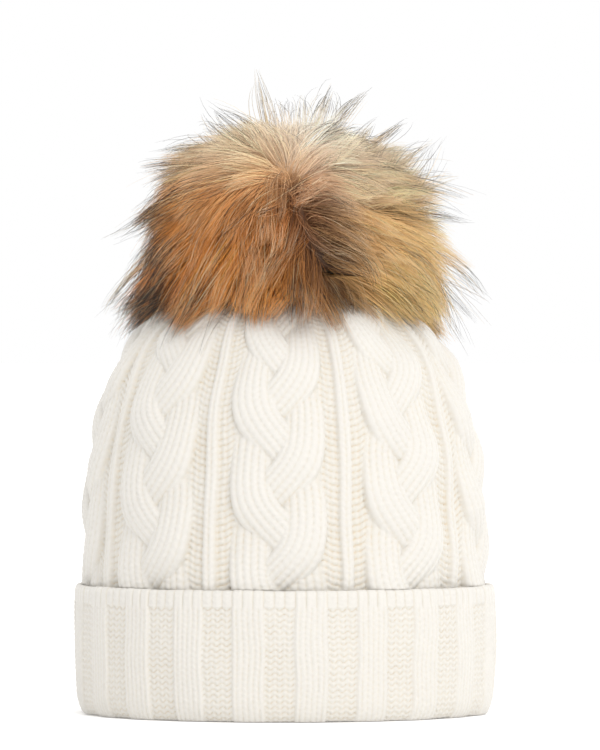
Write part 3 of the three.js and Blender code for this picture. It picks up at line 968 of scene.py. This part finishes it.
def make_fur():
    """Underfur in curved locks, longer guard hairs over it, and black-tipped wisps in tufts."""
    rng = np.random.default_rng(77)
    locks = make_locks(LOCKS, rng, 31, 0, 0.05, 0.16)
    tufts = make_locks(TUFTS, rng, 40, TUFT_LEAN_LESS, 0.16, 0.04)
    tuft_stray = stray_share(tufts["root"], rng)
    pieces = [make_underfur_mat()]
    for name, kind, count, points, size, share, spread, width, hold, curl in COATS:
        if kind == "wisp":
            held = tufts
            lock = rng.integers(0, TUFTS, int(count * HAIR_SHARE))
            root = unit(tufts["root"][lock] + rng.normal(0, TUFT_SPREAD, (len(lock), 3)))
            keep = root[:, 2] > TUFT_LOWEST
            root, lock = root[keep], lock[keep]
        else:
            held = locks
            root = keep_clear_of_mouth(even_directions(int(count * HAIR_SHARE), rng, 0.03))
            lock = nearest_lock(root, locks["root"])
        way = unit(combed(root) + held["turn"][lock] * 0.8 + rng.normal(0, 0.11, root.shape))
        lean = lean_angle(root) + rng.normal(0, 0.13, len(root))
        short = pile_length(root)
        length = size * short * np.clip(rng.normal(1, 0.10, len(root)), 0.7, 1.3)
        path = grow(root, way, length, lean, rng, curl, points)
        reach = np.clip(rng.normal(share, spread, len(root)), 0.55, 1.42) * short ** 0.6
        path = fit_reach(path, reach)
        pull = np.clip(rng.normal(hold, 0.12, len(root)), 0, 0.93)
        path = gather(path, lock, held["path"], pull)
        if kind == "wisp":
            stray = tuft_stray[lock] * np.clip(rng.normal(1, 0.05, len(root)), 0.85, 1.15)
            room = TIP_LIMIT - POM_CENTRE[2] - rng.uniform(0, 16, len(root))
            stray = np.minimum(stray, room / np.maximum(path[:, -1, 2] - POM_CENTRE[2], 1))
            path = stretched(path, stray)
        path = lay_on_crown(path, rng)
        color = hair_colors(path, rng, held["tone"][lock], held["streaky"][lock], kind)
        thick = width * np.clip(rng.normal(1, 0.22, len(root)), 0.5, 1.7)
        piece = strands_piece(name, path, thick, color)
        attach(piece, "pom")
        pieces.append(piece)
    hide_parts("fur_pelt")
    return pieces


def fur_material():
    """The colour that each hair carries, slightly streaked, with a soft warm sheen."""
    material, nodes, links, shader = new_material(
        "long_fur", Roughness=0.5, Specular_IOR_Level=0.3, Sheen_Weight=0.12,
        Sheen_Roughness=0.5, Sheen_Tint=(1.0, 0.82, 0.6, 1))
    mix = nodes.new("ShaderNodeMix")
    mix.data_type = "RGBA"
    mix.blend_type = "MULTIPLY"
    mix.inputs["Factor"].default_value = 1.0
    links.new(attribute(nodes, "tint", "Color"), mix.inputs["A"])
    patchy(nodes, links, mix.inputs["B"], [(0.3, (0.90, 0.88, 0.86)), (0.7, (1.0, 1.0, 1.0))], 700, 2)
    links.new(mix.outputs["Result"], shader.inputs["Base Color"])
    return material


# ---------------------------------------------------------------- yarns, threads and stitches
def yarn_rings(path, radius, sides, plies, twist, closed=False):
    """Rings of points round a path in millimetres: plies twisted together make its outline."""
    around = np.roll(path, -1, axis=0) - np.roll(path, 1, axis=0)
    heading = unit(around if closed else np.gradient(path, axis=0))
    side = unit(np.cross(heading, np.array([0.21, 0.43, 0.88])))
    other = np.cross(heading, side)
    step = np.linalg.norm(np.diff(path, axis=0, prepend=path[:1]), axis=-1)
    travel = np.cumsum(step)
    turn = np.linspace(0, TURN, sides, endpoint=False)[None, :]
    ply = 1 + 0.20 * np.cos(plies * (turn - TURN * travel[:, None] / twist))
    reach = radius * ply
    if not closed:
        end = np.minimum(np.minimum(travel, travel[-1] - travel) / radius, 1)
        reach = reach * (0.12 + 0.88 * rounded(1 - end, 1))[:, None]
    return path[:, None] + reach[..., None] * (side[:, None] * np.cos(turn)[..., None]
                                               + other[:, None] * np.sin(turn)[..., None])


def yarn_piece(name, paths, radius, sides=8, plies=2, twist=3.2, closed=False):
    """One mesh of closed yarns or separate stitches that follow the paths."""
    points, quads, caps, first = [], [], [], 0
    for path in paths:
        rings = yarn_rings(path, radius, sides, plies, twist, closed)
        faces, _ = grid_faces(len(path), sides, closed)
        points.append(rings.reshape(-1, 3))
        quads.append(faces + first)
        if not closed:
            caps.append(first + np.arange(sides)[::-1])
            caps.append(first + (len(path) - 1) * sides + np.arange(sides))
        first += len(path) * sides
    sets = [np.concatenate(quads)] + ([np.array(caps)] if caps else [])
    return mesh_piece(name, np.concatenate(points) * MM, sets)


def finish_piece(piece, body, node, material):
    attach(piece, body)
    if node:
        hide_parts(node)
    piece.data.materials.append(material)
    return piece


def middle_of(node):
    low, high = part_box(node)
    return (np.array(low) + np.array(high)) / 2 / MM, (np.array(high) - np.array(low)) / MM


SEAM_HALF = 2.0
SEAM_STITCH = 3.6
SEAM_INSET = 6.7


def zigzag(along):
    """Place across the seam of a whip stitch that crosses it at an even pace."""
    return SEAM_HALF * (2 / math.pi) * np.arcsin(np.sin(TURN * along / SEAM_STITCH))


def make_seams(yarn):
    """Whip-stitched joins up the inside of the cap and behind the cuff."""
    radius, height = dome_line(SEAM_INSET)
    travel, _ = measured(radius, height)
    low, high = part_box("back_seam_yarn")
    along = np.arange(np.interp(low[2] / MM, height, travel),
                      np.interp(high[2] / MM - 1, height, travel), 0.45)
    lift = 0.45 * np.cos(2 * TURN * along / SEAM_STITCH)
    r = np.interp(along, travel, radius) - lift
    seam = np.stack([zigzag(along), r * DEPTH_RATIO, np.interp(along, travel, height)], axis=-1)
    piece = yarn_piece("whipped_back_seam", [seam], 0.85)
    finish_piece(piece, "cap", "back_seam_yarn", yarn)

    middle, size = middle_of("cuff_seam_yarn")
    along = np.arange(-size[2] / 2 + 1, size[2] / 2 - 1, 0.45)
    seam = np.stack([zigzag(along), middle[1] + 0 * along, middle[2] + along], axis=-1)
    piece = yarn_piece("whipped_cuff_seam", [seam], 0.36)
    finish_piece(piece, "cuff", "cuff_seam_yarn", yarn)


def drawn_yarn(name, node, wobble, seed, sides):
    """A slightly wobbly closed ring of yarn in the place of a CAD ring."""
    middle, size = middle_of(node)
    turn = np.linspace(0, TURN, 150, endpoint=False)
    rng = np.random.default_rng(seed)
    shift = rng.uniform(0, TURN, 4)
    swell = wobble * (np.sin(5 * turn + shift[0]) + np.sin(9 * turn + shift[1])) / 2
    rise = wobble * (np.sin(6 * turn + shift[2]) + np.sin(11 * turn + shift[3])) / 2
    r = (size[0] - size[2]) / 2 + swell
    circle = np.stack([r * np.cos(turn), r * np.sin(turn), middle[2] + rise], axis=-1)
    return yarn_piece(name, [circle], size[2] / 2 * 0.8, sides, closed=True)


def make_gathers(yarn):
    """The yarn that closes the crown and the thread that closes the mouth of the ball."""
    piece = drawn_yarn("crown_drawn_yarn", "crown_gather_yarn", 0.22, 21, 10)
    finish_piece(piece, "cap", "crown_gather_yarn", yarn)
    piece = drawn_yarn("mouth_drawn_thread", "pom_gather_thread", 0.3, 22, 8)
    finish_piece(piece, "pom", "pom_gather_thread", yarn)


def stitch(start, end, rise, steps=9):
    """A short thread that bows up from the cloth between the holes it goes through."""
    share = np.linspace(0, 1, steps)[:, None]
    return start + (end - start) * share + np.array(rise) * np.sin(math.pi * share)


def make_label(cloth, yarn):
    """The blank woven label on the seam, its side edges folded under, and its stitching."""
    middle, size = middle_of("inner_label")
    columns, rows = 96, 60
    u, v = np.meshgrid(np.linspace(-1, 1, columns), np.linspace(-1, 1, rows))
    x, z = u * size[0] / 2, v * size[2] / 2
    fold = smooth_step(np.abs(x), size[0] / 2 - 2.6, size[0] / 2 - 2.2)
    wave = 0.10 * np.sin(x * 0.42 + z * 0.20) + 0.08 * np.sin(z * 0.55 + 1)
    weave = 0.03 * np.sin(x * 9.0) * np.sin(z * 9.0)
    edge = np.sqrt(np.clip(1 - np.maximum(np.abs(u), np.abs(v)) ** 24, 0, 1))
    half = size[1] / 2 * (0.45 + 0.4 * fold) * edge + 0.02
    front = np.stack([x, middle[1] - half + wave * 0.8 + weave, z + middle[2]], axis=-1)
    back = np.stack([x, middle[1] + half + wave * 0.8, z + middle[2]], axis=-1)
    faces, _ = grid_faces(rows, columns, False)
    faces = faces[faces[:, 1] % columns != 0]
    count = rows * columns
    border = np.concatenate([np.arange(columns), np.arange(1, rows) * columns + columns - 1,
                             (rows - 1) * columns + np.arange(columns - 1)[::-1],
                             np.arange(1, rows - 1)[::-1] * columns])
    following = np.roll(border, -1)
    rim = np.stack([border, border + count, following + count, following], axis=-1)
    points = np.concatenate([front.reshape(-1, 3), back.reshape(-1, 3)]) * MM
    piece = mesh_piece("woven_label", points, [faces, faces[:, ::-1] + count, rim])
    finish_piece(piece, "cap", "inner_label", cloth)
    for side in ("left", "right"):
        node = f"label_stitching_{side}"
        place, extent = middle_of(node)
        starts = np.arange(-extent[2] / 2, extent[2] / 2 - 2, 2.7)
        paths = [stitch(place + [0.1, 0.18, s], place + [-0.1, 0.18, s + 2.2], [0, -0.22, 0])
                 for s in starts]
        row = yarn_piece(f"label_stitches_{side}", paths, 0.22, 7, twist=1.2)
        finish_piece(row, "cap", node, yarn)


PATCH_STITCHES = 15
PATCH_HOLE = 3.3
SKIN_THICKNESS = 1.2


def ring_solid(outline, segments, roughen):
    """A turned closed solid whose points are moved by a roughen function of place."""
    turn = np.linspace(0, TURN, segments, endpoint=False)[None, :]
    line = np.array(outline)
    radius, height = line[:, :1] + 0 * turn, line[:, 1:] + 0 * turn
    points = np.stack([radius * np.cos(turn), radius * np.sin(turn), height], axis=-1)
    faces, _ = grid_faces(len(line), segments, True)
    return roughen(points), faces


def soft_edged(inner, outer, bottom, top, edge, steps=5):
    """Outline of a flat ring with rounded edges, from radius inner to outer."""
    line = []
    corners = [(outer - edge, bottom + edge, -90), (outer - edge, top - edge, 0),
               (inner + edge, top - edge, 90), (inner + edge, bottom + edge, 180)]
    for x, z, first in corners:
        for turn in np.radians(np.linspace(first, first + 90, steps)):
            line.append((x + edge * math.cos(turn), z + edge * math.sin(turn)))
    flat = []
    for (x0, z0), (x1, z1) in zip(line, line[1:] + line[:1]):
        parts = max(1, int(math.hypot(x1 - x0, z1 - z0) / 0.9))
        flat += [(x0 + (x1 - x0) * i / parts, z0 + (z1 - z0) * i / parts) for i in range(parts)]
    return flat


def make_patch(felt, yarn):
    """The felt patch under the crown and the hand stitches round its lower face."""
    middle, size = middle_of("crown_patch")
    low, high = middle[2] - size[2] / 2, middle[2] + size[2] / 2

    def matted(points):
        x, y = points[..., 0], points[..., 1]
        turn = np.arctan2(y, x)
        swell = 1 + 0.012 * np.sin(turn * 7 + 1) + 0.008 * np.sin(turn * 17)
        swell = np.where(np.hypot(x, y) > size[0] / 4, swell, 1)
        points = points * np.stack([swell, swell, np.ones_like(swell)], axis=-1)
        points[..., 2] += 0.06 * np.sin(x * 1.7) * np.sin(y * 1.9)
        return points

    outline = soft_edged(PATCH_HOLE, size[0] / 2 - 0.3, low + 0.08, high - 0.08, 0.45)
    points, faces = ring_solid(outline, 120, matted)
    piece = mesh_piece("felt_patch", points.reshape(-1, 3) * MM, [faces])
    finish_piece(piece, "cap", "crown_patch", felt)

    middle, size = middle_of("patch_stitching")
    radius = (size[0] - size[2]) / 2
    paths = []
    for i in range(PATCH_STITCHES):
        first, last = TURN * (i + 0.06) / PATCH_STITCHES, TURN * (i + 0.74) / PATCH_STITCHES
        ends = [np.array([radius * math.cos(t), radius * math.sin(t), middle[2] + 0.15])
                for t in (first, last)]
        bow = [0.25 * math.cos((first + last) / 2), 0.25 * math.sin((first + last) / 2), -0.3]
        paths.append(stitch(ends[0], ends[1], bow))
    row = yarn_piece("patch_hand_stitches", paths, size[2] / 2 * 0.8, 8, twist=1.6)
    finish_piece(row, "cap", "patch_stitching", yarn)


def make_pom_inside(leather, suede, fibre):
    """The leather base, the skin that the fur grows from, and the loose stuffing in it."""
    middle, size = middle_of("pom_base")
    low, high = middle[2] - size[2] / 2, middle[2] + size[2] / 2

    def grained(points):
        x, y = points[..., 0], points[..., 1]
        points[..., 2] += 0.05 * np.sin(x * 2.3 + 1) * np.sin(y * 2.1)
        return points

    outline = soft_edged(2.1, size[0] / 2, low + 0.06, high - 0.06, 0.4)
    points, faces = ring_solid(outline, 96, grained)
    piece = mesh_piece("leather_base", points.reshape(-1, 3) * MM, [faces])
    finish_piece(piece, "stud", "pom_base", leather)

    turns = np.linspace(math.pi - 1e-3, math.asin(MOUTH_RADIUS / SKIN_RADIUS[0]), 60)
    outline = []
    for inset, line in ((0, turns), (SKIN_THICKNESS, turns[::-1])):
        flat, tall = SKIN_RADIUS[0] - inset, SKIN_RADIUS[2] - inset
        outline += [(flat * math.sin(t), POM_CENTRE[2] - tall * math.cos(t)) for t in line]

    def creased(points):
        place = unit(points - [0, 0, POM_CENTRE[2]])
        lumps = 0.35 * ball_noise(place.reshape(-1, 3), 31, 6.0).reshape(points.shape[:2])
        return points - place * (0.4 + np.abs(lumps))[..., None] * 0.6

    points, faces = ring_solid(outline, 90, creased)
    points = points + np.array([POM_CENTRE[0], 0, 0]) * smooth_step(points[..., 2:], 212, 225)
    piece = mesh_piece("pelt_skin", points.reshape(-1, 3) * MM, [faces])
    finish_piece(piece, "pom", None, suede)

    middle, size = middle_of("pom_stuffing")
    bm = bmesh.new()
    bmesh.ops.create_icosphere(bm, subdivisions=5, radius=1)
    ball = bpy.data.meshes.new("loose_stuffing")
    bm.to_mesh(ball)
    bm.free()
    place = np.empty(len(ball.vertices) * 3, dtype=np.float32)
    ball.vertices.foreach_get("co", place)
    place = unit(place.reshape(-1, 3).astype(float))
    tufts = 0.5 * ball_noise(place, 41, 9.0) + 0.35 * ball_noise(place, 42, 22.0)
    swell = 0.955 - 0.028 * np.abs(tufts)
    points = middle + place * (size / 2) * swell[:, None]
    ball.vertices.foreach_set("co", (points * MM).astype(np.float32).ravel())
    ball.polygons.foreach_set("use_smooth", np.full(len(ball.polygons), True))
    ball.update()
    piece = link_piece("loose_stuffing", ball)
    finish_piece(piece, "pom", "pom_stuffing", fibre)


# ---------------------------------------------------------------- small materials
# Their patches' dark and pale colour and scale, and their bump's scale and depth in metres
SMALL_MATERIALS = {
    "seam_yarn": ((0.76, 0.68, 0.54), (0.88, 0.83, 0.73), 500, 5000, 0.0003),
    "crown_felt": ((0.70, 0.62, 0.50), (0.84, 0.78, 0.67), 900, 3500, 0.0004),
    "base_leather": ((0.17, 0.085, 0.04), (0.30, 0.16, 0.08), 300, 1800, 0.0003),
    "pelt_suede": ((0.07, 0.045, 0.03), (0.16, 0.10, 0.065), 200, 2500, 0.0004),
    "stuffing_fibre": ((0.62, 0.60, 0.56), (0.86, 0.85, 0.82), 350, 1400, 0.001),
}


def rough_material(name, stops, scale, bump_scale, depth, **sockets):
    """A patchy colour and a fine bump at their own scales, with values on its sockets."""
    material, nodes, links, shader = new_material(name, **sockets)
    patchy(nodes, links, shader.inputs["Base Color"], stops, scale, 4)
    bumped(nodes, links, shader, noise(nodes, links, bump_scale, 5), 0.5, depth)
    return material


def small_material(name, roughness, **sockets):
    dark, pale, scale, bump_scale, depth = SMALL_MATERIALS[name]
    return rough_material(name, [(0.3, dark), (0.7, pale)], scale, bump_scale, depth,
                          Roughness=roughness, **sockets)


def woven_material():
    """Ivory satin for the label, with fine crossing threads in the bump."""
    material, nodes, links, shader = new_material("label_satin", Roughness=0.5, Sheen_Weight=0.2)
    ivory = [(0.3, (0.80, 0.77, 0.70)), (0.7, (0.88, 0.86, 0.80))]
    patchy(nodes, links, shader.inputs["Base Color"], ivory, 1500, 3)
    waves = []
    for direction in ("X", "Z"):
        place, wave = nodes.new("ShaderNodeTexCoord"), nodes.new("ShaderNodeTexWave")
        wave.bands_direction = direction
        wave.inputs["Scale"].default_value = 900
        links.new(place.outputs["Object"], wave.inputs["Vector"])
        waves.append(wave.outputs["Fac"])
    both = math_node(nodes, links, "MAXIMUM", *waves)
    bumped(nodes, links, shader, both, 0.4, 0.0001)
    return material


def metal_material(name, dark, bright, roughness):
    """Pressed metal, dulled in patches and finely scratched."""
    stops = [(0.25, dark), (0.55, bright), (0.85, bright)]
    material = rough_material(name, stops, 260, 2400, 0.00005, Metallic=1.0)
    nodes, links = material.node_tree.nodes, material.node_tree.links
    worn = [(0.3, (roughness * 0.7,) * 3), (0.7, (roughness * 1.6,) * 3)]
    patchy(nodes, links, nodes["Principled BSDF"].inputs["Roughness"], worn, 600, 5)
    return material


def make_small_pieces():
    yarn = small_material("seam_yarn", 0.9, Sheen_Weight=0.3, Specular_IOR_Level=0.2)
    felt = small_material("crown_felt", 0.98, Sheen_Weight=0.4)
    leather = small_material("base_leather", 0.62)
    suede = small_material("pelt_suede", 0.95)
    fibre = small_material("stuffing_fibre", 0.95, Sheen_Weight=0.3)
    make_seams(yarn)
    make_gathers(yarn)
    make_label(woven_material(), yarn)
    make_patch(felt, yarn)
    make_pom_inside(leather, suede, fibre)

    brass = metal_material("worn_brass", (0.36, 0.25, 0.10), (0.66, 0.49, 0.23), 0.3)
    steel = metal_material("spring_steel", (0.30, 0.30, 0.30), (0.62, 0.61, 0.59), 0.25)
    for name in ("snap_cap", "snap_socket", "snap_stud", "stud_post"):
        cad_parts[name].material_slots[0].material = brass
    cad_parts["snap_spring"].material_slots[0].material = steel


# ---------------------------------------------------------------- camera, light and floor
CAMERA_DISTANCE = 4.0
CAMERA_TILT = math.radians(0.4)
CAMERA_TARGET = Vector((0.0072, 0.0, 0.1643))
FRAME_HEIGHT = 0.3656
SENSOR = 36.0
WORLD_STRENGTH = 0.78


def make_camera():
    data = bpy.data.cameras.new("camera")
    camera = bpy.data.objects.new("camera", data)
    bpy.context.scene.collection.objects.link(camera)
    away = Vector((0, -math.cos(CAMERA_TILT), math.sin(CAMERA_TILT)))
    camera.location = CAMERA_TARGET + away * CAMERA_DISTANCE
    camera.rotation_euler = (-away).to_track_quat("-Z", "Y").to_euler()
    data.sensor_width = SENSOR
    data.lens = SENSOR * CAMERA_DISTANCE / FRAME_HEIGHT
    data.clip_start, data.clip_end = 0.05, 100
    bpy.context.scene.camera = camera


def sun(name, direction, strength, spread, color=(1, 1, 1)):
    """A soft sun that shines from a direction, so that the floor is lit evenly."""
    data = bpy.data.lights.new(name, "SUN")
    data.energy, data.angle, data.color = strength, math.radians(spread), color
    light = bpy.data.objects.new(name, data)
    bpy.context.scene.collection.objects.link(light)
    light.rotation_euler = Vector(direction).to_track_quat("Z", "Y").to_euler()


def make_world():
    """Even studio light, with a white background behind the hat."""
    world = bpy.data.worlds.new("studio")
    world.use_nodes = True
    nodes, links = world.node_tree.nodes, world.node_tree.links
    backdrop = nodes.new("ShaderNodeBackground")
    for light, strength in ((nodes["Background"], WORLD_STRENGTH), (backdrop, 1.0)):
        light.inputs["Color"].default_value = (1, 1, 1, 1)
        light.inputs["Strength"].default_value = strength
    path, mix = nodes.new("ShaderNodeLightPath"), nodes.new("ShaderNodeMixShader")
    links.new(path.outputs["Is Camera Ray"], mix.inputs["Fac"])
    links.new(nodes["Background"].outputs[0], mix.inputs[1])
    links.new(backdrop.outputs[0], mix.inputs[2])
    links.new(mix.outputs[0], nodes["World Output"].inputs["Surface"])
    bpy.context.scene.world = world


def make_stage():
    bpy.context.scene.view_settings.view_transform = "Standard"
    make_world()
    sun("key", (0.35, -0.8, 0.85), 1.46, 40, (1, 0.985, 0.965))
    sun("top", (0.3, 0.1, 1.0), 0.56, 70)
    sun("back", (-0.2, 0.85, 0.75), 0.7, 60)

    bpy.ops.mesh.primitive_plane_add(size=60, location=(0, 0, -0.0003))
    floor = bpy.context.object
    floor.name = "floor"
    material, nodes, links, shader = new_material(
        "pale_floor", Roughness=1.0, Specular_IOR_Level=0.0, Emission_Color=(1, 1, 1, 1),
        Emission_Strength=0.14)
    grain = [(0.0, (0.95, 0.95, 0.95)), (1.0, (0.98, 0.98, 0.98))]
    patchy(nodes, links, shader.inputs["Base Color"], grain, 3)
    floor.data.materials.append(material)


make_camera()
make_stage()
wool = knit_material()
for knit in (make_cap(), make_cuff()):
    knit.data.materials.append(wool)
fur = fur_material()
for coat in make_fur():
    coat.data.materials.append(fur)
make_small_pieces()
